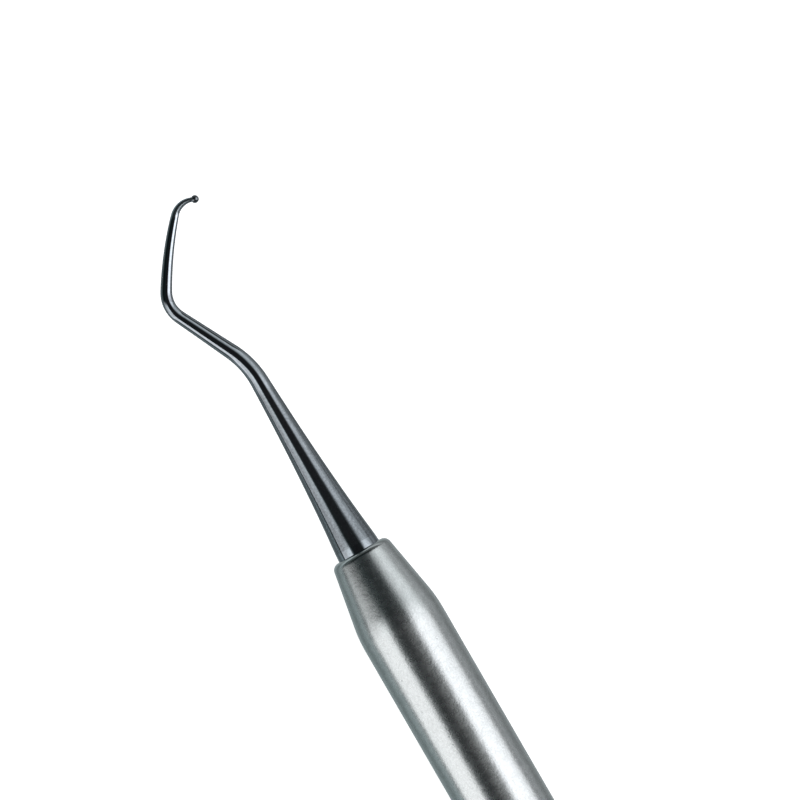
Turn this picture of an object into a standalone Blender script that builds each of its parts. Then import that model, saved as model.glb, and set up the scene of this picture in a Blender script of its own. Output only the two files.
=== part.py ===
"""Double-ended dental hand instrument, built as separate steel pieces.

A hollow satin handle with a swaged nose at each end holds two identical working ends. Each working
end is one turned and bent piece: a tang pressed into a plug inside the handle, a short land that
fills the nose, a hollow-ground cone, a twice-bent wire and a hooked tip with a small ball.

Frame: metres, +X along the handle, +Z up. The origin lies under the middle of the handle, on the
surface that the instrument lies on. Both bends lie flat, in the plane through the handle's axis.
"""
import math

import bpy
from mathutils import Matrix, Vector

MM = 0.001

# Round pieces are drawn with this many flats, and each flat sits at the stated radius.
SIDES = 24
BALL_RINGS = 8
MERGE = 0.000001

# Handle: a drawn tube with both ends swaged to a nose. Depths are behind the nose's end face: the
# lip's bore fits the shank, then the inside flares out to the straight bore.
HANDLE_LENGTH = 105.0 * MM
HANDLE_RADIUS = 4.0 * MM
WALL = 0.5 * MM
TAPER_ANGLE = math.radians(10.1)
TAPER_LENGTH = 6.9 * MM
SHOULDER_BLEND = 13.0 * MM
NOSE_ROUND = 0.70 * MM
NOSE_BORE = 2.10 * MM
NOSE_LIP = 1.5 * MM
NOSE_WALL = 0.70 * MM
BORE_DEPTH = 7.3 * MM
ARC_POINTS = 5

# Plug: a turned bush inside each end of the handle, which grips the tang.
PLUG_CLEARANCE = 0.04 * MM
PLUG_LENGTH = 8.0 * MM
PLUG_DEPTH = 8.6 * MM
PLUG_CHAMFER = 0.4 * MM

# Working end, behind the nose face.
TANG_RADIUS = 1.5 * MM
TANG_LENGTH = 17.5 * MM
TANG_CHAMFER = 0.4 * MM
TANG_CLEARANCE = 0.04 * MM
LAND_RADIUS = 2.05 * MM
LAND_BEHIND = 1.3 * MM

# Working end, ahead of the nose face: radius of the section at stations along the piece.
SECTIONS = (
    (0.00 * MM, LAND_RADIUS),
    (0.70 * MM, 2.000 * MM),
    (3.00 * MM, 1.765 * MM),
    (6.00 * MM, 1.500 * MM),
    (10.0 * MM, 1.215 * MM),
    (14.0 * MM, 0.995 * MM),
    (18.0 * MM, 0.830 * MM),
    (23.0 * MM, 0.680 * MM),
    (29.0 * MM, 0.547 * MM),
    (35.9 * MM, 0.380 * MM),
    (37.4 * MM, 0.300 * MM),
    (38.4 * MM, 0.220 * MM),
)
BALL_RADIUS = 0.36 * MM

# The bent centreline from the nose face to the ball's centre: length and turn of each stretch,
# positive turns towards +Y. A bend's length is its radius times its angle.
LEAN = math.radians(0.35)
FIRST_BEND = math.radians(25.9)
SECOND_BEND = math.radians(-57.2)
SLOW_BEND = math.radians(-11.1)
HOOK = math.radians(-69.4)
FIRST_BEND_RADIUS = 8.35 * MM
SECOND_BEND_RADIUS = 2.72 * MM
HOOK_RADIUS = 1.825 * MM
STRETCHES = (
    (0.60 * MM, LEAN),
    (16.9 * MM, 0.0),
    (FIRST_BEND_RADIUS * abs(FIRST_BEND), FIRST_BEND),
    (5.52 * MM, 0.0),
    (SECOND_BEND_RADIUS * abs(SECOND_BEND), SECOND_BEND),
    (6.83 * MM, SLOW_BEND),
    (HOOK_RADIUS * abs(HOOK), HOOK),
    (0.27 * MM, 0.0),
)
GUIDE_STEP = 0.2 * MM
RING_TURN = math.radians(6.0)
RING_SPACING = 3.0 * MM

SATIN_STEEL = (0.56, 0.57, 0.57, 1.0)
BRIGHT_STEEL = (0.63, 0.64, 0.66, 1.0)
TURNED_STEEL = (0.50, 0.50, 0.50, 1.0)


def clear_scene():
    """Removes every object, so that the script gives the same result on each run."""
    for obj in list(bpy.data.objects):
        bpy.data.objects.remove(obj, do_unlink=True)


def new_collection(name):
    """A collection linked to the scene."""
    collection = bpy.data.collections.new(name)
    bpy.context.scene.collection.children.link(collection)
    return collection


def steel(name, color, roughness):
    """A metal finish with the given colour and roughness."""
    material = bpy.data.materials.new(name)
    material.use_nodes = True
    shader = material.node_tree.nodes["Principled BSDF"]
    shader.inputs["Base Color"].default_value = color
    shader.inputs["Metallic"].default_value = 1.0
    shader.inputs["Roughness"].default_value = roughness
    return material


def arc(center, radius, start, end, points):
    """Points on an arc in the (radius, height) plane, both ends included."""
    outline = []
    for i in range(points):
        angle = start + (end - start) * i / (points - 1)
        along = center[0] + radius * math.cos(angle)
        up = center[1] + radius * math.sin(angle)
        outline.append((along, up))
    return outline


def turned(name, outline, closed, material, collection):
    """A turned piece: the outline of (radius, height) points runs down its outer side.

    The outline lies half a flat round from +X, so that a flat, and not an edge, faces each axis.
    """
    half_flat = math.tan(math.pi / SIDES)
    vertices = [(radius, radius * half_flat, height) for radius, height in outline]
    edges = [(i, i + 1) for i in range(len(vertices) - 1)]
    if closed:
        edges.append((len(vertices) - 1, 0))
    mesh = bpy.data.meshes.new(name)
    mesh.from_pydata(vertices, edges, [])
    mesh.materials.append(material)
    piece = bpy.data.objects.new(name, mesh)
    collection.objects.link(piece)
    screw = piece.modifiers.new("Turn", "SCREW")
    screw.axis = "Z"
    screw.angle = math.tau
    screw.steps = SIDES
    screw.render_steps = SIDES
    screw.use_merge_vertices = True
    screw.merge_threshold = MERGE
    screw.use_smooth_shade = True
    return piece


def facing(rear):
    """Turns a piece made for the front end to the end that it belongs to."""
    return Matrix.Rotation(math.pi if rear else 0.0, 4, "Z")


def lay_along_x(piece, parent, rear=False):
    """Lays a piece turned about Z along the handle: its +Z end goes to the front, or to the rear."""
    piece.matrix_world = facing(rear) @ Matrix.Rotation(math.pi / 2, 4, "Y")
    piece.parent = parent


def nose_outside():
    """The nose's outer side from its end face down to the straight handle, as (radius, height)."""
    half_length = HANDLE_LENGTH / 2
    slope = math.tan(TAPER_ANGLE)
    apex = HANDLE_RADIUS - TAPER_LENGTH * slope
    round_center = apex + NOSE_ROUND * (slope - 1 / math.cos(TAPER_ANGLE))
    corner = arc((round_center, half_length - NOSE_ROUND), NOSE_ROUND,
                 math.pi / 2, TAPER_ANGLE, ARC_POINTS)
    blend_drop = SHOULDER_BLEND * math.tan(TAPER_ANGLE / 2)
    blend_center = (HANDLE_RADIUS - SHOULDER_BLEND, half_length - TAPER_LENGTH - blend_drop)
    shoulder = arc(blend_center, SHOULDER_BLEND, TAPER_ANGLE, 0.0, ARC_POINTS)
    return corner + shoulder


def nose_inside():
    """The nose's inner side from its end face down to the straight bore, as (radius, height)."""
    half_length = HANDLE_LENGTH / 2
    slope = math.tan(TAPER_ANGLE)
    flare_start = HANDLE_RADIUS - (TAPER_LENGTH - NOSE_LIP) * slope - NOSE_WALL
    return [
        (NOSE_BORE, half_length),
        (NOSE_BORE, half_length - NOSE_LIP),
        (flare_start, half_length - NOSE_LIP),
        (HANDLE_RADIUS - WALL, half_length - BORE_DEPTH),
    ]


def mirrored(outline):
    """The same outline at the other end of the handle, in the order that carries on from it."""
    return [(radius, -height) for radius, height in reversed(outline)]


def handle_tube(material, collection, parent):
    """The hollow handle, open at both noses."""
    outside = nose_outside()
    inside = nose_inside()
    outline = outside + mirrored(outside) + mirrored(inside)[::-1] + inside[::-1]
    tube = turned("handle_tube", outline, True, material, collection)
    lay_along_x(tube, parent)


def tang_plug(name, material, collection, parent, rear):
    """The bush that is pressed into the handle behind a nose and grips the tang."""
    top = HANDLE_LENGTH / 2 - PLUG_DEPTH
    bottom = top - PLUG_LENGTH
    outer = HANDLE_RADIUS - WALL - PLUG_CLEARANCE
    bore = TANG_RADIUS + TANG_CLEARANCE
    outline = [
        (bore, top),
        (outer - PLUG_CHAMFER, top),
        (outer, top - PLUG_CHAMFER),
        (outer, bottom + PLUG_CHAMFER),
        (outer - PLUG_CHAMFER, bottom),
        (bore, bottom),
    ]
    plug = turned(name, outline, True, material, collection)
    lay_along_x(plug, parent, rear)


def section_radius(station):
    """Radius at a station ahead of the nose face, on a smooth curve through SECTIONS."""
    if station <= SECTIONS[0][0]:
        return SECTIONS[0][1]
    if station >= SECTIONS[-1][0]:
        return SECTIONS[-1][1]
    slopes = []
    for i in range(len(SECTIONS)):
        before = SECTIONS[max(i - 1, 0)]
        after = SECTIONS[min(i + 1, len(SECTIONS) - 1)]
        slopes.append((after[1] - before[1]) / (after[0] - before[0]))
    i = max(j for j in range(len(SECTIONS) - 1) if SECTIONS[j][0] <= station)
    span = SECTIONS[i + 1][0] - SECTIONS[i][0]
    t = (station - SECTIONS[i][0]) / span
    return ((2 * t**3 - 3 * t**2 + 1) * SECTIONS[i][1] + (t**3 - 2 * t**2 + t) * span * slopes[i]
            + (3 * t**2 - 2 * t**3) * SECTIONS[i + 1][1] + (t**3 - t**2) * span * slopes[i + 1])


def ring_stations():
    """Stations for the rings of the working end: closer together where it bends or necks."""
    stations = [station for station, radius in SECTIONS[:3]]
    reached = 0.0
    for length, turn in STRETCHES:
        rings = math.ceil(max(length / RING_SPACING, abs(turn) / RING_TURN))
        for i in range(1, rings + 1):
            stations.append(reached + length * i / rings)
        reached += length
    last = SECTIONS[-1][0]
    kept = [station for station in stations if station < last - GUIDE_STEP]
    return sorted(set(kept)) + [last]


def blank_outline():
    """The straight blank that the working end is bent from, from its ball to its tang's end."""
    ball_center = sum(length for length, turn in STRETCHES)
    neck_angle = math.pi - math.asin(SECTIONS[-1][1] / BALL_RADIUS)
    outline = []
    for i in range(BALL_RINGS + 1):
        angle = neck_angle * i / BALL_RINGS
        height = ball_center + BALL_RADIUS * math.cos(angle)
        outline.append((BALL_RADIUS * math.sin(angle), height))
    for station in reversed(ring_stations()):
        outline.append((section_radius(station), station))
    outline += [
        (LAND_RADIUS, -LAND_BEHIND),
        (TANG_RADIUS, -LAND_BEHIND),
        (TANG_RADIUS, TANG_CHAMFER - TANG_LENGTH),
        (TANG_RADIUS - TANG_CHAMFER, -TANG_LENGTH),
        (0.0, -TANG_LENGTH),
    ]
    return outline


def centreline():
    """Evenly spaced points along the bent centreline, in XY, from the tang's end at x < 0."""
    straight = round(TANG_LENGTH / GUIDE_STEP)
    points = [Vector((-TANG_LENGTH + TANG_LENGTH * i / straight, 0, 0)) for i in range(straight)]
    place = Vector((0, 0, 0))
    heading = 0.0
    for length, turn in STRETCHES:
        steps = max(2, round(length / GUIDE_STEP))
        for i in range(steps):
            points.append(place.copy())
            middle = heading + turn * (i + 0.5) / steps
            place += Vector((math.cos(middle), math.sin(middle), 0)) * length / steps
        heading += turn
    overrun = Vector((math.cos(heading), math.sin(heading), 0)) * BALL_RADIUS
    return points + [place, place + overrun]


def bend_curve():
    """The curve that the working ends are bent along, drawn along +X in the plane of the bends."""
    points = centreline()
    curve = bpy.data.curves.new("bend_guide", "CURVE")
    curve.dimensions = "3D"
    curve.twist_mode = "Z_UP"
    spline = curve.splines.new("POLY")
    spline.points.add(len(points) - 1)
    for guide_point, place in zip(spline.points, points):
        guide_point.co = (place.x, place.y, place.z, 1.0)
    return curve


def working_end(name, curve, material, collections, parent, rear):
    """One working end: its turned blank, bent along a guide and set in the handle's nose."""
    pieces, guides = collections
    outline = [(radius, height + TANG_LENGTH) for radius, height in blank_outline()]
    piece = turned(name, outline, False, material, pieces)
    guide = bpy.data.objects.new(name + "_guide", curve)
    guides.objects.link(guide)
    guide.hide_render = True
    guide.display_type = "WIRE"
    bend = piece.modifiers.new("Bend", "CURVE")
    bend.object = guide
    bend.deform_axis = "POS_Z"
    for obj in (piece, guide):
        obj.matrix_world = facing(rear) @ Matrix.Translation((HANDLE_LENGTH / 2, 0, 0))
        obj.parent = parent


def build():
    """Builds the whole instrument, lying on z = 0."""
    clear_scene()
    pieces = new_collection("dental_explorer")
    guides = new_collection("guides")
    satin = steel("satin_steel", SATIN_STEEL, 0.38)
    bright = steel("bright_steel", BRIGHT_STEEL, 0.12)
    bare = steel("turned_steel", TURNED_STEEL, 0.45)
    axis = bpy.data.objects.new("handle_axis", None)
    pieces.objects.link(axis)
    curve = bend_curve()
    handle_tube(satin, pieces, axis)
    for end, rear in (("front", False), ("rear", True)):
        tang_plug(end + "_tang_plug", bare, pieces, axis, rear)
        working_end(end + "_working_end", curve, bright, (pieces, guides), axis, rear)
    axis.location = (0, 0, HANDLE_RADIUS)


build()
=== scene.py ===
"""Dental explorer: the fine model of its five steel pieces, with a plain studio round it.

The script is laid out as an add-on: property groups hold the sizes and finishes, an operator builds
each kind of piece, and a sidebar panel lists them. Run as a script, it builds everything once.
Lengths are in metres and angles in radians; the instrument lies along X with its bends flat in XY.
"""
import math

import bpy
from bpy.props import FloatProperty, FloatVectorProperty, IntProperty, PointerProperty
from mathutils import Matrix, Vector


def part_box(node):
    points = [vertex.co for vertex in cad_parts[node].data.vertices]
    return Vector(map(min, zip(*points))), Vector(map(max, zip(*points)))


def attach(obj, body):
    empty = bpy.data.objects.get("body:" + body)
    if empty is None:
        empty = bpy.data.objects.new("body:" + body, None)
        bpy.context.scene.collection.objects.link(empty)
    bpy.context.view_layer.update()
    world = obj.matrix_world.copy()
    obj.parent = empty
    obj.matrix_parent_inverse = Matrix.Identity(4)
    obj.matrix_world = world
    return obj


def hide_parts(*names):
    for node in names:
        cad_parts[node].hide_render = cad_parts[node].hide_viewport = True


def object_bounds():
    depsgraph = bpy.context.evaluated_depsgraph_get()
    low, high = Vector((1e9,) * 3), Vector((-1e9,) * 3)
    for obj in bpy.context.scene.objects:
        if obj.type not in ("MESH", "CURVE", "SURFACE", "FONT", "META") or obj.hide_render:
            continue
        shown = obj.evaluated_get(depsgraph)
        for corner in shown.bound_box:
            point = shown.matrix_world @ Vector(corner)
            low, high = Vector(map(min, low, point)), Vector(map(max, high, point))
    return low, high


bl_info = {
    "name": "Dental Explorer",
    "version": (1, 0, 0),
    "blender": (4, 5, 0),
    "location": "3D View > Sidebar > Explorer",
    "description": "Builds a ball-tipped dental explorer from turned and bent steel, and its studio",
    "category": "Add Mesh",
}

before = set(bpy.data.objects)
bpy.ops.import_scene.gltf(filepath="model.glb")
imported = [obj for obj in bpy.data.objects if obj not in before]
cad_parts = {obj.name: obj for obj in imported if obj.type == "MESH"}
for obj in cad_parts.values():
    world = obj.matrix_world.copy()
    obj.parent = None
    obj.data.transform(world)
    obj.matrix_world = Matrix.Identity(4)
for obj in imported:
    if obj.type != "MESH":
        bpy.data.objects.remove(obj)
CAD_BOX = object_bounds()
TUBE_LOW, TUBE_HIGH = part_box("handle_tube")
PLUG_LOW, PLUG_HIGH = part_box("front_tang_plug")
END_LOW, END_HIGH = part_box("front_working_end")

MM = 0.001
NOSE_X = TUBE_HIGH.x
AXIS_Z = (TUBE_LOW.z + TUBE_HIGH.z) / 2
MERGE = 0.0000002
SMOOTH_ANGLE = math.radians(32)

# Where the finish of a working end changes, ahead of the nose's end. Each change takes a short way.
GROUND_FROM = (0.66 * MM, 0.76 * MM)
GROUND_TO = (16.3 * MM, 16.9 * MM)
TIP_FROM = (33.9 * MM, 34.15 * MM)
# The ball's painted shade starts this far to the right of the handle's axis; distances to the left
# count up.
BALL_SHADE_SIDE = (-2.80 * MM, -2.72 * MM)
# The smoother rim reaches this far behind the nose's end.
RIM_DEPTH = (0.30 * MM, 0.45 * MM)
# The shank leans over within this length of the nose's end.
LEAN_RUN = 0.60 * MM

# What the steel mirrors of the room, by the height that it looks up to, from straight down at -1
# to straight up at 1: a lit table below, a dark line at the horizon with a faint band just above it,
# and a nearly dark ceiling.
ROOM_SHADES = (
    (-1.00, (0.42, 0.44, 0.45)),
    (-0.60, (0.18, 0.19, 0.19)),
    (-0.20, (0.42, 0.43, 0.44)),
    (0.00, (0.00, 0.00, 0.00)),
    (0.10, (0.14, 0.15, 0.15)),
    (0.50, (0.003, 0.005, 0.005)),
    (0.75, (0.010, 0.018, 0.018)),
    (0.87, (0.016, 0.025, 0.027)),
    (0.92, (0.025, 0.028, 0.028)),
    (1.00, (0.022, 0.020, 0.022)),
)


def length(name, description, default):
    """A length property in metres."""
    return FloatProperty(name=name, description=description, default=default, min=0.0,
                         precision=6, subtype="DISTANCE", unit="LENGTH")


def angle(name, description, degrees):
    """An angle property, given in degrees and stored in radians."""
    return FloatProperty(name=name, description=description, default=math.radians(degrees),
                         subtype="ANGLE", unit="ROTATION")


def factor(name, description, default):
    """A property from 0 to 1."""
    return FloatProperty(name=name, description=description, default=default, min=0.0, max=1.0,
                         subtype="FACTOR")


def color(name, description, default):
    """A colour property."""
    return FloatVectorProperty(name=name, description=description, default=default, size=3,
                               min=0.0, max=1.0, subtype="COLOR")


class ExplorerHandle(bpy.types.PropertyGroup):
    """Sizes of the hollow handle."""
    radius: length("Radius", "Outer radius of the straight handle", (TUBE_HIGH.z - TUBE_LOW.z) / 2)
    wall: length("Wall", "Thickness of the tube's wall", 0.5 * MM)
    taper_length: length("Taper length", "From the nose's end to the corner of the shoulder",
                         6.9 * MM)
    taper_angle: angle("Taper angle", "Slope of the nose against the axis", 10.1)
    shoulder_blend: length("Shoulder blend", "Radius of the rounding at the shoulder", 13.0 * MM)
    nose_round: length("Nose rounding", "Radius of the nose's outer edge", 0.70 * MM)
    nose_bore: length("Nose bore", "Radius of the hole in the nose", 2.10 * MM)
    bore_edge: length("Bore edge", "Radius of the rounding at the mouth of the bore", 0.03 * MM)
    lip: length("Lip", "Length of the bore behind the nose's end", 1.5 * MM)
    lip_wall: length("Lip wall", "Thickness of the wall behind the lip", 0.70 * MM)
    bore_depth: length("Bore depth", "Where the straight bore starts, behind the nose's end",
                       7.3 * MM)
    sides: IntProperty(name="Sides", description="Segments round the handle", default=192, min=24)


class ExplorerEnd(bpy.types.PropertyGroup):
    """Sizes of a working end."""
    land: length("Land", "Radius of the land at the nose's end", 2.05 * MM)
    land_length: length("Land length", "How far the polished land stands out of the nose", 0.70 * MM)
    land_front: length("Land front", "Radius of the land where the ground cone starts", 2.0 * MM)
    land_behind: length("Land inside", "How far the land reaches into the nose", 1.3 * MM)
    tang: length("Tang", "Radius of the tang", 1.5 * MM)
    tang_length: length("Tang length", "From the nose's end to the tang's end", 17.5 * MM)
    ball: length("Ball", "Radius of the ball", 0.36 * MM)
    neck: length("Neck", "Radius of the neck behind the ball", 0.220 * MM)
    lean: angle("Lean", "Turn of the shank against the handle", 0.35)
    first_bend: angle("First bend", "Turn of the first bend", 25.9)
    second_bend: angle("Second bend", "Turn of the second bend", -57.2)
    slow_bend: angle("Slow bend", "Turn of the gently curved run", -11.1)
    hook: angle("Hook", "Turn of the hook at the tip", -69.4)
    first_radius: length("First bend radius", "Radius of the first bend", 8.35 * MM)
    second_radius: length("Second bend radius", "Radius of the second bend", 2.72 * MM)
    hook_radius: length("Hook radius", "Radius of the hook", 1.825 * MM)
    shank: length("Shank", "Straight length from the nose's end to the first bend", 17.5 * MM)
    first_run: length("First run", "Straight length between the first two bends", 5.52 * MM)
    second_run: length("Second run", "Length of the gently curved run", 6.83 * MM)
    tip_run: length("Tip run", "From the hook's end to the ball's centre", 0.27 * MM)
    sides: IntProperty(name="Sides", description="Segments round the working end", default=72,
                       min=24)


class ExplorerFinish(bpy.types.PropertyGroup):
    """Colours and finishes of the steels."""
    satin: color("Satin steel", "Colour of the bead-blasted handle", (0.662, 0.70, 0.705))
    satin_roughness: factor("Satin roughness", "Roughness of the handle", 0.27)
    grain: length("Grain", "Size of the marks that bead-blasting leaves", 0.20 * MM)
    rim: factor("Rim polish", "How much smoother the rim at each nose is", 0.17)
    bright: color("Bright steel", "Colour of the polished ends", (0.338, 0.375, 0.408))
    bright_roughness: factor("Bright roughness", "Roughness of the polished ends", 0.06)
    grinding: factor("Grinding", "How much of its brightness grinding took from the cone", 0.23)
    bare: color("Bare steel", "Colour of the turned plugs", (0.50, 0.50, 0.50))


class ExplorerStudio(bpy.types.PropertyGroup):
    """The camera, the lights and the floor."""
    roll: angle("Roll", "How far the instrument leans left of upright in the picture", 30.02)
    ahead: length("Ahead", "How far beyond the nose the camera aims", 9.856 * MM)
    aside: length("Aside", "How far to the instrument's right the camera aims", 9.917 * MM)
    width: length("Width", "Width of the picture at the instrument", 71.43 * MM)
    lens: FloatProperty(name="Lens", description="Focal length in millimetres", default=300.0,
                        min=50.0)
    light_distance: length("Light distance", "From the aim point to each softbox", 0.45)
    floor: color("Floor", "Colour of the floor", (0.9, 0.9, 0.9))


def activate(obj):
    """Selects one object alone and makes it the active one."""
    bpy.ops.object.select_all(action="DESELECT")
    obj.select_set(True)
    bpy.context.view_layer.objects.active = obj


def trace(name, points):
    """A wire through the points: one vertex, extruded from each point to the next."""
    bpy.ops.object.select_all(action="DESELECT")
    bpy.ops.mesh.primitive_plane_add(size=MM, location=points[0], enter_editmode=True)
    wire = bpy.context.object
    wire.name = name
    wire.data.name = name
    bpy.ops.mesh.select_all(action="SELECT")
    bpy.ops.mesh.merge(type="CENTER")
    for before, after in zip(points, points[1:]):
        step = Vector(after) - Vector(before)
        bpy.ops.mesh.extrude_vertices_move(TRANSFORM_OT_translate={"value": step})
    return wire


def turn(name, outline, sides, height=AXIS_Z):
    """A piece turned about a level axis, along X, from an outline of (along, radius) points."""
    points = [(along, 0.0, height + radius) for along, radius in outline]
    piece = trace(name, points)
    bpy.ops.mesh.select_all(action="SELECT")
    bpy.ops.mesh.spin(steps=sides, angle=math.tau, center=(0, 0, height), axis=(1, 0, 0))
    bpy.ops.mesh.select_all(action="SELECT")
    bpy.ops.mesh.remove_doubles(threshold=MERGE)
    bpy.ops.mesh.normals_make_consistent(inside=False)
    bpy.ops.object.mode_set(mode="OBJECT")
    bpy.ops.object.transform_apply(location=True, rotation=True, scale=True)
    bpy.ops.object.shade_smooth_by_angle(angle=SMOOTH_ANGLE)
    return piece


def rounded(corners):
    """The outline through (along, radius, rounding, steps) corners, with each one's arc drawn."""
    outline = []
    for i, (along, radius, rounding, steps) in enumerate(corners):
        corner = Vector((along, radius))
        if not rounding:
            outline.append(tuple(corner))
            continue
        back = (Vector(corners[i - 1][:2]) - corner).normalized()
        on = (Vector(corners[(i + 1) % len(corners)][:2]) - corner).normalized()
        half = back.angle(on) / 2
        middle = corner + (back + on).normalized() * rounding / math.sin(half)
        start = corner + back * rounding / math.tan(half) - middle
        sweep = start.angle_signed(corner + on * rounding / math.tan(half) - middle)
        for step in range(steps + 1):
            turned = sweep * step / steps
            arm = Vector((start.x * math.cos(turned) + start.y * math.sin(turned),
                          start.y * math.cos(turned) - start.x * math.sin(turned)))
            outline.append(tuple(middle + arm))
    return outline


def half_turn_copy(piece, name):
    """A copy of a front piece with its own mesh, turned half round about Z for the rear end."""
    activate(piece)
    bpy.ops.object.duplicate(linked=False)
    copy = bpy.context.object
    copy.name = name
    copy.data.name = name
    copy.rotation_euler = (0, 0, math.pi)
    bpy.ops.object.transform_apply(location=True, rotation=True, scale=True)
    return copy


def handle_outline(size):
    """The handle's outline: down the outside from the front nose to the rear, and back inside."""
    slope = math.tan(size.taper_angle)
    nose = size.radius - size.taper_length * slope
    flare = size.radius - (size.taper_length - size.lip) * slope - size.lip_wall
    half = [
        (NOSE_X, size.nose_bore, size.bore_edge, 4),
        (NOSE_X, nose, size.nose_round, 14),
        (NOSE_X - size.taper_length, size.radius, size.shoulder_blend, 12),
    ]
    inside = [
        (NOSE_X - size.lip, size.nose_bore, 0.0, 0),
        (NOSE_X - size.lip, flare, 0.0, 0),
        (NOSE_X - size.bore_depth, size.radius - size.wall, 0.0, 0),
    ]
    rear = [(-along, radius, rounding, steps) for along, radius, rounding, steps in half]
    rear_inside = [(-along, radius, rounding, steps) for along, radius, rounding, steps in inside]
    corners = half + rear[::-1] + rear_inside + inside[::-1]
    outline = rounded(corners)
    return outline + outline[:1]


def section_stations(size):
    """(station, radius) of the shank's and the wire's section, ahead of the nose's end."""
    return (
        (0.0, size.land),
        (size.land_length, size.land_front),
        (3.0 * MM, 1.765 * MM),
        (6.0 * MM, 1.500 * MM),
        (10.0 * MM, 1.215 * MM),
        (14.0 * MM, 0.995 * MM),
        (18.0 * MM, 0.830 * MM),
        (23.0 * MM, 0.680 * MM),
        (29.0 * MM, 0.547 * MM),
        (35.9 * MM, 0.380 * MM),
        (37.4 * MM, 0.300 * MM),
        (38.4 * MM, size.neck),
    )


def section_radius(stations, at):
    """Radius on a smooth curve through the stations."""
    slopes = []
    for i in range(len(stations)):
        before = stations[max(i - 1, 0)]
        after = stations[min(i + 1, len(stations) - 1)]
        slopes.append((after[1] - before[1]) / (after[0] - before[0]))
    i = max(j for j in range(len(stations) - 1) if stations[j][0] <= at)
    span = stations[i + 1][0] - stations[i][0]
    t = (at - stations[i][0]) / span
    return ((2 * t**3 - 3 * t**2 + 1) * stations[i][1] + (t**3 - 2 * t**2 + t) * span * slopes[i]
            + (3 * t**2 - 2 * t**3) * stations[i + 1][1] + (t**3 - t**2) * span * slopes[i + 1])


def stretches(size):
    """Length and turn of each stretch of the centreline, from the nose's end to the ball."""
    return (
        (LEAN_RUN, size.lean),
        (size.shank - LEAN_RUN, 0.0),
        (size.first_radius * abs(size.first_bend), size.first_bend),
        (size.first_run, 0.0),
        (size.second_radius * abs(size.second_bend), size.second_bend),
        (size.second_run, size.slow_bend),
        (size.hook_radius * abs(size.hook), size.hook),
        (size.tip_run, 0.0),
    )


def blank_outline(size):
    """The blank that a working end is bent from, from its ball to its tang's end at zero."""
    stations = section_stations(size)
    ball_center = sum(run for run, turned in stretches(size))
    ball_rings = 28
    ring_step = 0.16 * MM
    neck_angle = math.pi - math.asin(size.neck / size.ball)
    outline = []
    for i in range(ball_rings + 1):
        around = neck_angle * i / ball_rings
        outline.append((ball_center + size.ball * math.cos(around), size.ball * math.sin(around)))
    first, last = stations[0][0], stations[-1][0]
    rings = round((last - first) / ring_step)
    for i in range(rings + 1):
        at = last + (first - last) * i / rings
        outline.append((at, section_radius(stations, at)))
    bevel = 0.05 * MM
    chamfer = 0.4 * MM
    outline += [
        (-size.land_behind + bevel, size.land),
        (-size.land_behind, size.land - bevel),
        (-size.land_behind, size.tang),
        (chamfer - size.tang_length, size.tang),
        (-size.tang_length, size.tang - chamfer),
        (-size.tang_length, 0.0),
    ]
    return [(size.tang_length + along, radius) for along, radius in outline]


def centreline(size):
    """Closely spaced points along the bent centreline, from the tang's end to past the ball."""
    step = 0.12 * MM
    tang_steps = round(size.tang_length / step)
    points = []
    for i in range(tang_steps):
        points.append(Vector((NOSE_X - size.tang_length * (1 - i / tang_steps), 0, AXIS_Z)))
    place = Vector((NOSE_X, 0, AXIS_Z))
    heading = 0.0
    for run, turned in stretches(size):
        steps = max(2, round(run / step))
        for i in range(steps):
            points.append(place.copy())
            middle = heading + turned * (i + 0.5) / steps
            place += Vector((math.cos(middle), math.sin(middle), 0)) * run / steps
        heading += turned
    overrun = Vector((math.cos(heading), math.sin(heading), 0)) * size.ball
    return points + [place, place + overrun]


def bend(blank, size):
    """Bends a straight blank along the centreline and applies the bend."""
    guide = trace("bend_guide", centreline(size))
    bpy.ops.object.mode_set(mode="OBJECT")
    bpy.ops.object.transform_apply(location=True, rotation=True, scale=True)
    bpy.ops.object.convert(target="CURVE")
    guide.data.twist_mode = "Z_UP"
    modifier = blank.modifiers.new("Bend", "CURVE")
    modifier.object = guide
    modifier.deform_axis = "POS_X"
    activate(blank)
    bpy.ops.object.modifier_apply(modifier=modifier.name)
    bpy.data.objects.remove(guide, do_unlink=True)


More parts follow.
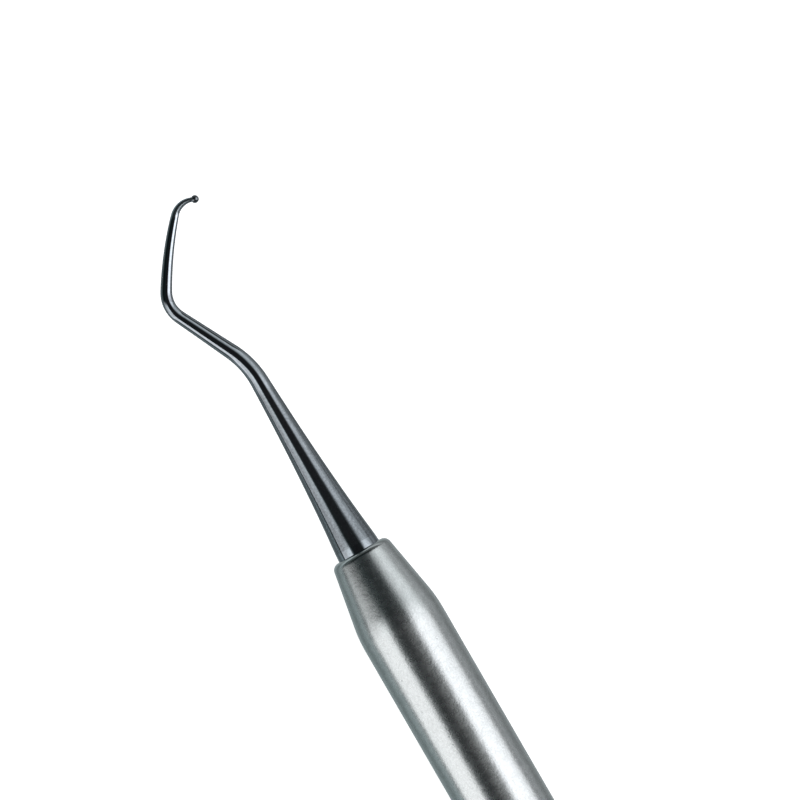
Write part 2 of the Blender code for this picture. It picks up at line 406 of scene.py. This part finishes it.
class Nodes:
    """A short way to add and link the nodes of one material or light."""

    def __init__(self, tree):
        self.tree = tree

    def add(self, kind, **settings):
        """Adds a node and sets its fields, or its inputs of those names."""
        node = self.tree.nodes.new(kind)
        for key, value in settings.items():
            if hasattr(node, key):
                setattr(node, key, value)
            else:
                node.inputs[key.replace("_", " ").title()].default_value = value
        return node

    def link(self, output, target):
        """Links one output to one input."""
        self.tree.links.new(output, target)

    def noise(self, place, size, detail=2.0, roughness=0.5):
        """Noise whose marks are about the given size, in metres."""
        node = self.add("ShaderNodeTexNoise", scale=1.0 / size, detail=detail, roughness=roughness)
        self.link(place, node.inputs["Vector"])
        return node.outputs["Fac"]

    def ramp(self, value, low, high, first, last, kind="LINEAR"):
        """Maps a value between low and high onto the range from first to last."""
        node = self.add("ShaderNodeMapRange", clamp=True, interpolation_type=kind, from_min=low,
                        from_max=high, to_min=first, to_max=last)
        self.link(value, node.inputs["Value"])
        return node.outputs["Result"]

    def math(self, operation, *values):
        """A math node on sockets or numbers."""
        node = self.add("ShaderNodeMath", operation=operation)
        for value, socket in zip(values, node.inputs):
            if isinstance(value, bpy.types.NodeSocket):
                self.link(value, socket)
            else:
                socket.default_value = value
        return node.outputs["Value"]

    def tint(self, amount, first, last):
        """A colour between two colours."""
        node = self.add("ShaderNodeValToRGB")
        node.color_ramp.elements[0].color = (*first, 1.0)
        node.color_ramp.elements[1].color = (*last, 1.0)
        self.link(amount, node.inputs["Fac"])
        return node.outputs["Color"]

    def bump(self, height, distance):
        """A bump of the given height in metres."""
        node = self.add("ShaderNodeBump", distance=distance, strength=1.0)
        self.link(height, node.inputs["Height"])
        return node.outputs["Normal"]


def metal(name):
    """A metal's material, its nodes, its shader and the place that its textures are read at."""
    material = bpy.data.materials.new(name)
    material.use_nodes = True
    nodes = Nodes(material.node_tree)
    shader = material.node_tree.nodes["Principled BSDF"]
    shader.inputs["Metallic"].default_value = 1.0
    place = nodes.add("ShaderNodeTexCoord").outputs["Object"]
    return material, nodes, shader, place


def scaled(rgb, amount):
    """A colour made lighter or darker."""
    return tuple(min(channel * amount, 1.0) for channel in rgb)


def satin_steel(finish):
    """Bead-blasted steel: a fine grain, soft clouds, small pits and a smoother rim at each nose."""
    material, nodes, shader, place = metal("satin_steel")
    grain = nodes.noise(place, finish.grain, detail=2.0, roughness=0.6)
    clouds = nodes.noise(place, 3 * finish.grain, detail=4.0, roughness=0.55)
    cells = nodes.add("ShaderNodeTexVoronoi", scale=1.0 / (4 * finish.grain))
    nodes.link(place, cells.inputs["Vector"])
    kind = nodes.add("ShaderNodeSeparateXYZ")
    nodes.link(cells.outputs["Color"], kind.inputs["Vector"])
    pitted = nodes.math("GREATER_THAN", kind.outputs["X"], 0.72)
    spot = nodes.ramp(cells.outputs["Distance"], 0.05, 0.11, 1.0, 0.0)
    pit = nodes.math("MULTIPLY", spot, pitted)
    shade = nodes.math("ADD", nodes.ramp(grain, 0.25, 0.75, 0.0, 0.6),
                       nodes.ramp(clouds, 0.3, 0.7, 0.0, 0.4))
    shade = nodes.math("MULTIPLY_ADD", pit, -0.5, shade)
    nodes.link(nodes.tint(shade, scaled(finish.satin, 0.80), scaled(finish.satin, 1.15)),
               shader.inputs["Base Color"])
    split = nodes.add("ShaderNodeSeparateXYZ")
    nodes.link(place, split.inputs["Vector"])
    depth = nodes.math("SUBTRACT", NOSE_X, nodes.math("ABSOLUTE", split.outputs["X"]))
    rim = nodes.ramp(depth, *RIM_DEPTH, finish.rim, 0.0)
    rough = nodes.ramp(clouds, 0.3, 0.7, finish.satin_roughness - 0.02,
                       finish.satin_roughness + 0.02)
    nodes.link(nodes.math("SUBTRACT", rough, rim), shader.inputs["Roughness"])
    height = nodes.math("MULTIPLY_ADD", pit, -1.0, nodes.math("ADD", grain, clouds))
    nodes.link(nodes.bump(height, 0.035 * finish.grain), shader.inputs["Normal"])
    return material


def bright_steel(finish):
    """Polished steel: the cone and the tip are ground duller, and the ball's colour is darkened as
    painted shade.
    """
    material, nodes, shader, place = metal("bright_steel")
    split = nodes.add("ShaderNodeSeparateXYZ")
    nodes.link(place, split.inputs["Vector"])
    along = nodes.math("SUBTRACT", nodes.math("ABSOLUTE", split.outputs["X"]), NOSE_X)
    left = nodes.math("MULTIPLY", split.outputs["Y"], nodes.math("SIGN", split.outputs["X"]))
    past_land = nodes.ramp(along, *GROUND_FROM, 0.0, 1.0, "SMOOTHSTEP")
    before_wire = nodes.ramp(along, *GROUND_TO, 1.0, 0.0, "SMOOTHSTEP")
    ground = nodes.math("MULTIPLY", past_land, before_wire)
    tip = nodes.ramp(along, *TIP_FROM, 0.0, 1.0, "SMOOTHSTEP")
    # Painted shade: a mask over the ball, by its side of the handle's axis.
    ball = nodes.math("MULTIPLY", tip, nodes.ramp(left, *BALL_SHADE_SIDE, 1.0, 0.0))
    fine = nodes.noise(place, 0.09 * MM)
    clouds = nodes.noise(place, 0.22 * MM, detail=3.0)
    shade = nodes.math("MULTIPLY_ADD", ground, -finish.grinding,
                       nodes.ramp(clouds, 0.25, 0.75, 0.85, 1.15))
    shade = nodes.math("MULTIPLY_ADD", tip, 0.65, shade)
    # Painted shade: the ball's colour is darkened, which dims everything that it mirrors.
    shade = nodes.math("MULTIPLY_ADD", ball, -1.0, shade)
    steel = nodes.add("ShaderNodeVectorMath", operation="SCALE")
    steel.inputs[0].default_value = finish.bright
    nodes.link(shade, steel.inputs["Scale"])
    nodes.link(steel.outputs["Vector"], shader.inputs["Base Color"])
    rough = nodes.ramp(fine, 0.3, 0.7, finish.bright_roughness - 0.015,
                       finish.bright_roughness + 0.015)
    rough = nodes.math("MULTIPLY_ADD", ground, 0.01, rough)
    nodes.link(nodes.math("MULTIPLY_ADD", tip, 0.18, rough), shader.inputs["Roughness"])
    nodes.link(nodes.math("MULTIPLY_ADD", ground, -0.045, 1.0), shader.inputs["Metallic"])
    ripple = nodes.math("MULTIPLY", fine, nodes.math("MULTIPLY_ADD", ground, 1.6, 0.5))
    nodes.link(nodes.bump(ripple, 0.0008 * MM), shader.inputs["Normal"])
    return material


def bare_steel(finish):
    """Bare turned steel, as the lathe left it: fine rings round the axis."""
    material, nodes, shader, place = metal("turned_steel")
    rings = nodes.add("ShaderNodeTexWave", wave_type="BANDS", bands_direction="X",
                      scale=1.0 / (1.2 * MM), distortion=0.4)
    nodes.link(place, rings.inputs["Vector"])
    nodes.link(nodes.tint(rings.outputs["Fac"], scaled(finish.bare, 0.85), finish.bare),
               shader.inputs["Base Color"])
    shader.inputs["Roughness"].default_value = 0.42
    nodes.link(nodes.bump(rings.outputs["Fac"], 0.004 * MM), shader.inputs["Normal"])
    return material


def dress(piece, material, node):
    """Gives a piece its material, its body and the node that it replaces."""
    piece.data.materials.clear()
    piece.data.materials.append(material)
    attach(piece, "root")
    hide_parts(node)


class EXPLORER_OT_add_handle(bpy.types.Operator):
    """Adds the hollow handle with a rounded nose at each end"""
    bl_idname = "explorer.add_handle"
    bl_label = "Add Handle"

    def execute(self, context):
        """Turns the handle and gives it its bead-blasted finish."""
        size = context.scene.explorer_handle
        handle = turn("handle", handle_outline(size), size.sides)
        dress(handle, satin_steel(context.scene.explorer_finish), "handle_tube")
        return {"FINISHED"}


class EXPLORER_OT_add_plugs(bpy.types.Operator):
    """Adds the plug inside each end of the handle that grips a tang"""
    bl_idname = "explorer.add_plugs"
    bl_label = "Add Tang Plugs"

    def execute(self, context):
        """Turns the front plug, with broken edges, and copies it to the rear."""
        size = context.scene.explorer_end
        outer = (PLUG_HIGH.z - PLUG_LOW.z) / 2
        bore = size.tang + 0.04 * MM
        edge = 0.4 * MM
        corners = [
            (PLUG_HIGH.x, bore, 0.15 * MM, 3),
            (PLUG_HIGH.x, outer, edge, 6),
            (PLUG_LOW.x, outer, edge, 6),
            (PLUG_LOW.x, bore, 0.15 * MM, 3),
        ]
        outline = rounded(corners)
        plug = turn("front_plug", outline + outline[:1], size.sides)
        material = bare_steel(context.scene.explorer_finish)
        dress(plug, material, "front_tang_plug")
        dress(half_turn_copy(plug, "rear_plug"), material, "rear_tang_plug")
        return {"FINISHED"}


class EXPLORER_OT_add_ends(bpy.types.Operator):
    """Adds the two bent, ball-tipped working ends"""
    bl_idname = "explorer.add_ends"
    bl_label = "Add Working Ends"

    def execute(self, context):
        """Turns a straight blank, bends it and copies it to the rear."""
        size = context.scene.explorer_end
        end = turn("front_end", blank_outline(size), size.sides, height=0.0)
        bend(end, size)
        material = bright_steel(context.scene.explorer_finish)
        dress(end, material, "front_working_end")
        dress(half_turn_copy(end, "rear_end"), material, "rear_working_end")
        return {"FINISHED"}


def softbox(name, stage, azimuth, slant, roll, spreads, edges, slopes, radiance, tint):
    """A rectangular light that faces the aim point, with soft edges and an uneven glow.

    Azimuth is counted in the picture, anticlockwise from its right side, and slant from upright.
    The spreads are half-angles as seen from the aim point. Each edge fades over that share of half
    the light's width or height, and the slopes say how much brighter the right and top sides are.
    """
    distance, aim, right, up = stage
    turned = math.radians(azimuth)
    out = right * math.cos(turned) + up * math.sin(turned)
    across = up * math.cos(turned) - right * math.sin(turned)
    toward = out * math.sin(math.radians(slant)) + Vector((0, 0, math.cos(math.radians(slant))))
    facing = Matrix((across, toward.cross(across), toward)).transposed()
    bpy.ops.object.light_add(type="AREA", location=aim + toward * distance)
    light = bpy.context.object
    light.name = name
    light.rotation_euler = (facing @ Matrix.Rotation(math.radians(roll), 3, "Z")).to_euler()
    light.visible_camera = False
    light.data.shape = "RECTANGLE"
    light.data.size = 2 * distance * math.tan(math.radians(spreads[0]))
    light.data.size_y = 2 * distance * math.tan(math.radians(spreads[1]))
    light.data.color = tint
    light.data.energy = radiance * math.pi * light.data.size * light.data.size_y
    light.data.use_nodes = True
    nodes = Nodes(light.data.node_tree)
    split = nodes.add("ShaderNodeSeparateXYZ")
    nodes.link(nodes.add("ShaderNodeNewGeometry").outputs["Parametric"], split.inputs["Vector"])
    glow = 1.0
    leaning = 1.0
    for axis, edge, slope in zip("XY", edges, slopes):
        place = nodes.math("MULTIPLY_ADD", split.outputs[axis], 2.0, -1.0)
        inward = nodes.math("SUBTRACT", 1.0, nodes.math("ABSOLUTE", place))
        glow = nodes.math("MULTIPLY", nodes.ramp(inward, 0.0, edge, 0.0, 1.0, "SMOOTHSTEP"), glow)
        leaning = nodes.math("MULTIPLY_ADD", place, slope, leaning)
    strength = nodes.math("MULTIPLY", glow, nodes.math("MAXIMUM", leaning, 0.0))
    nodes.link(strength, light.data.node_tree.nodes["Emission"].inputs["Strength"])


def surroundings(scene):
    """The room that the steel mirrors, dark but for the table's glow, and plain white behind it."""
    world = bpy.data.worlds.new("studio")
    scene.world = world
    world.use_nodes = True
    nodes = Nodes(world.node_tree)
    world.node_tree.nodes.clear()
    split = nodes.add("ShaderNodeSeparateXYZ")
    nodes.link(nodes.add("ShaderNodeTexCoord").outputs["Generated"], split.inputs["Vector"])
    shades = nodes.add("ShaderNodeValToRGB")
    nodes.link(nodes.ramp(split.outputs["Z"], -1.0, 1.0, 0.0, 1.0), shades.inputs["Fac"])
    stops = shades.color_ramp.elements
    stops[0].color = (*ROOM_SHADES[0][1], 1.0)
    stops[1].color = (*ROOM_SHADES[-1][1], 1.0)
    for height, shade in ROOM_SHADES[1:-1]:
        stops.new((height + 1) / 2).color = (*shade, 1.0)
    toward_left = nodes.ramp(split.outputs["Y"], -0.8, 0.8, 0.0, 1.0)
    cooler = nodes.tint(toward_left, (1.0, 1.0, 1.0), (0.88, 1.0, 1.0))
    cooled = nodes.add("ShaderNodeVectorMath", operation="MULTIPLY")
    nodes.link(shades.outputs["Color"], cooled.inputs[0])
    nodes.link(cooler, cooled.inputs[1])
    room = nodes.add("ShaderNodeBackground")
    nodes.link(cooled.outputs["Vector"], room.inputs["Color"])
    ahead = nodes.ramp(split.outputs["X"], 0.55, 0.90, 0.0, 0.45, "SMOOTHSTEP")
    low = nodes.ramp(split.outputs["Z"], 0.05, 0.15, 1.0, 0.0)
    nodes.link(nodes.math("MULTIPLY_ADD", ahead, low, 1.0), room.inputs["Strength"])
    paper = nodes.add("ShaderNodeBackground")
    paper.inputs["Color"].default_value = (1.0, 1.0, 1.0, 1.0)
    mix = nodes.add("ShaderNodeMixShader")
    nodes.link(nodes.add("ShaderNodeLightPath").outputs["Is Camera Ray"], mix.inputs["Fac"])
    nodes.link(room.outputs["Background"], mix.inputs[1])
    nodes.link(paper.outputs["Background"], mix.inputs[2])
    nodes.link(mix.outputs["Shader"], nodes.add("ShaderNodeOutputWorld").inputs["Surface"])


def floor_material(studio):
    """Evenly lit white paper."""
    material = bpy.data.materials.new("white_paper")
    material.use_nodes = True
    shader = material.node_tree.nodes["Principled BSDF"]
    shader.inputs["Base Color"].default_value = (*studio.floor, 1.0)
    shader.inputs["Roughness"].default_value = 0.9
    shader.inputs["Emission Color"].default_value = (1.0, 1.0, 1.0, 1.0)
    shader.inputs["Emission Strength"].default_value = 0.95
    return material


class EXPLORER_OT_add_stage(bpy.types.Operator):
    """Adds the floor, the softboxes, the surroundings and the camera"""
    bl_idname = "explorer.add_stage"
    bl_label = "Add Stage"

    def execute(self, context):
        """Builds the studio round the instrument's front end."""
        scene = context.scene
        studio = scene.explorer_studio
        aim = Vector((NOSE_X + studio.ahead, -studio.aside, AXIS_Z))
        up = Vector((math.cos(studio.roll), -math.sin(studio.roll), 0))
        right = Vector((-math.sin(studio.roll), -math.cos(studio.roll), 0))
        bpy.ops.mesh.primitive_circle_add(vertices=96, radius=4.0, fill_type="NGON",
                                          location=(0, 0, CAD_BOX[0].z))
        floor = context.object
        floor.name = "floor"
        floor.data.materials.append(floor_material(studio))
        floor.visible_glossy = False
        floor.visible_shadow = False
        stage = (studio.light_distance, aim, right, up)
        softbox("right_softbox", stage, azimuth=17, slant=57, roll=-18, spreads=(21.5, 33),
                edges=(0.12, 0.45), slopes=(-0.92, -0.35), radiance=1.71, tint=(1.0, 0.98, 1.0))
        softbox("front_softbox", stage, azimuth=46, slant=65, roll=-8.5, spreads=(16.5, 42.5),
                edges=(0.10, 1.0), slopes=(0.10, 0.43), radiance=0.93, tint=(0.97, 0.99, 1.0))
        softbox("left_softbox", stage, azimuth=213, slant=62.5, roll=-12.5, spreads=(20.5, 26.5),
                edges=(0.36, 0.05), slopes=(0.60, 0.16), radiance=1.21, tint=(1.0, 0.97, 0.97))
        softbox("low_softbox", stage, azimuth=-28, slant=27.5, roll=23.5, spreads=(16, 22.5),
                edges=(0.87, 0.65), slopes=(0.0, -0.87), radiance=0.82, tint=(1.0, 1.0, 0.98))
        softbox("fill_softbox", stage, azimuth=204, slant=48.5, roll=5, spreads=(8.5, 22.5),
                edges=(0.80, 0.70), slopes=(0.07, 0.38), radiance=0.50, tint=(0.93, 1.0, 1.0))
        surroundings(scene)
        distance = studio.width * studio.lens / 36.0
        bpy.ops.object.camera_add(location=aim + Vector((0, 0, distance)))
        camera = context.object
        camera.rotation_euler = (0, 0, math.atan2(right.y, right.x))
        camera.data.lens = studio.lens
        camera.data.clip_start = 0.01
        scene.camera = camera
        scene.view_settings.view_transform = "Standard"
        return {"FINISHED"}


OPERATORS = (EXPLORER_OT_add_handle, EXPLORER_OT_add_plugs, EXPLORER_OT_add_ends,
             EXPLORER_OT_add_stage)


class EXPLORER_PT_panel(bpy.types.Panel):
    """Lists what the add-on builds, with its sizes and finishes"""
    bl_idname = "EXPLORER_PT_panel"
    bl_label = "Dental Explorer"
    bl_space_type = "VIEW_3D"
    bl_region_type = "UI"
    bl_category = "Explorer"

    def draw(self, context):
        """Draws a button for each operator and a field for each property."""
        for operator in OPERATORS:
            self.layout.operator(operator.bl_idname)
        for name, group in GROUPS.items():
            box = self.layout.box()
            box.label(text=group.__name__[len("Explorer"):])
            for field in group.__annotations__:
                box.prop(getattr(context.scene, name), field)


GROUPS = {
    "explorer_handle": ExplorerHandle,
    "explorer_end": ExplorerEnd,
    "explorer_finish": ExplorerFinish,
    "explorer_studio": ExplorerStudio,
}


def register():
    """Registers the classes and hangs their settings on the scene."""
    for cls in (*GROUPS.values(), *OPERATORS, EXPLORER_PT_panel):
        bpy.utils.register_class(cls)
    for name, group in GROUPS.items():
        setattr(bpy.types.Scene, name, PointerProperty(type=group))


def unregister():
    """Takes back everything that register added."""
    for name in GROUPS:
        delattr(bpy.types.Scene, name)
    for cls in reversed((*GROUPS.values(), *OPERATORS, EXPLORER_PT_panel)):
        bpy.utils.unregister_class(cls)


def main():
    """Builds the instrument and its studio."""
    register()
    bpy.ops.explorer.add_handle()
    bpy.ops.explorer.add_plugs()
    bpy.ops.explorer.add_ends()
    bpy.ops.explorer.add_stage()


if __name__ == "__main__":
    main()
